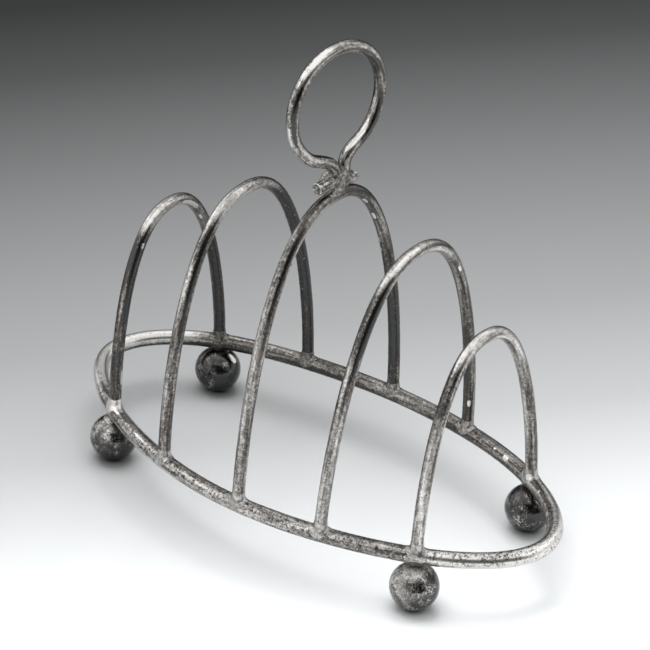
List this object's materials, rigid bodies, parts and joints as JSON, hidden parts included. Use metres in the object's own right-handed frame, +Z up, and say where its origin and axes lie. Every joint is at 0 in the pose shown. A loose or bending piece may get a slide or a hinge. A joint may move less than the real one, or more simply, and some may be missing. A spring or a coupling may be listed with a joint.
{
  "type": "toast rack",
  "caption": "Silver-plated wire toast rack: arched dividers soldered across an oval wire base on small ball feet, with a ring-shaped carrying handle on the tallest arch.",
  "frame": {"origin": "on the table, under the middle of the oval base's box", "axes": "+X along the rack, across the arches' planes; +Y from the front of the rack to its back; +Z up"},
  "size_m": [0.1499, 0.075, 0.1336],
  "materials": {
    "plated_wire": "old silver plate on nickel silver, worn and tarnished, satin with bright rubbed edges",
    "plated_ball": "old silver plate, darkly tarnished, glossy under the tarnish",
    "solder": "silver solder, plated over, satin"
  },
  "bodies": {
    "root": {"base_ring": "plated_wire", "arch_1": "plated_wire", "arch_1_front_solder": "solder", "arch_1_back_solder": "solder", "arch_2": "plated_wire", "arch_2_front_solder": "solder", "arch_2_back_solder": "solder", "arch_3": "plated_wire", "arch_3_front_solder": "solder", "arch_3_back_solder": "solder", "arch_4": "plated_wire", "arch_4_front_solder": "solder", "arch_4_back_solder": "solder", "arch_5": "plated_wire", "arch_5_front_solder": "solder", "arch_5_back_solder": "solder", "ball_foot_front_left": "plated_ball", "ball_foot_front_left_solder": "solder", "ball_foot_back_left": "plated_ball", "ball_foot_back_left_solder": "solder", "ball_foot_front_right": "plated_ball", "ball_foot_front_right_solder": "solder", "ball_foot_back_right": "plated_ball", "ball_foot_back_right_solder": "solder", "handle_loop": "plated_wire", "handle_neck_solder": "solder"}
  },
  "joints": []
}
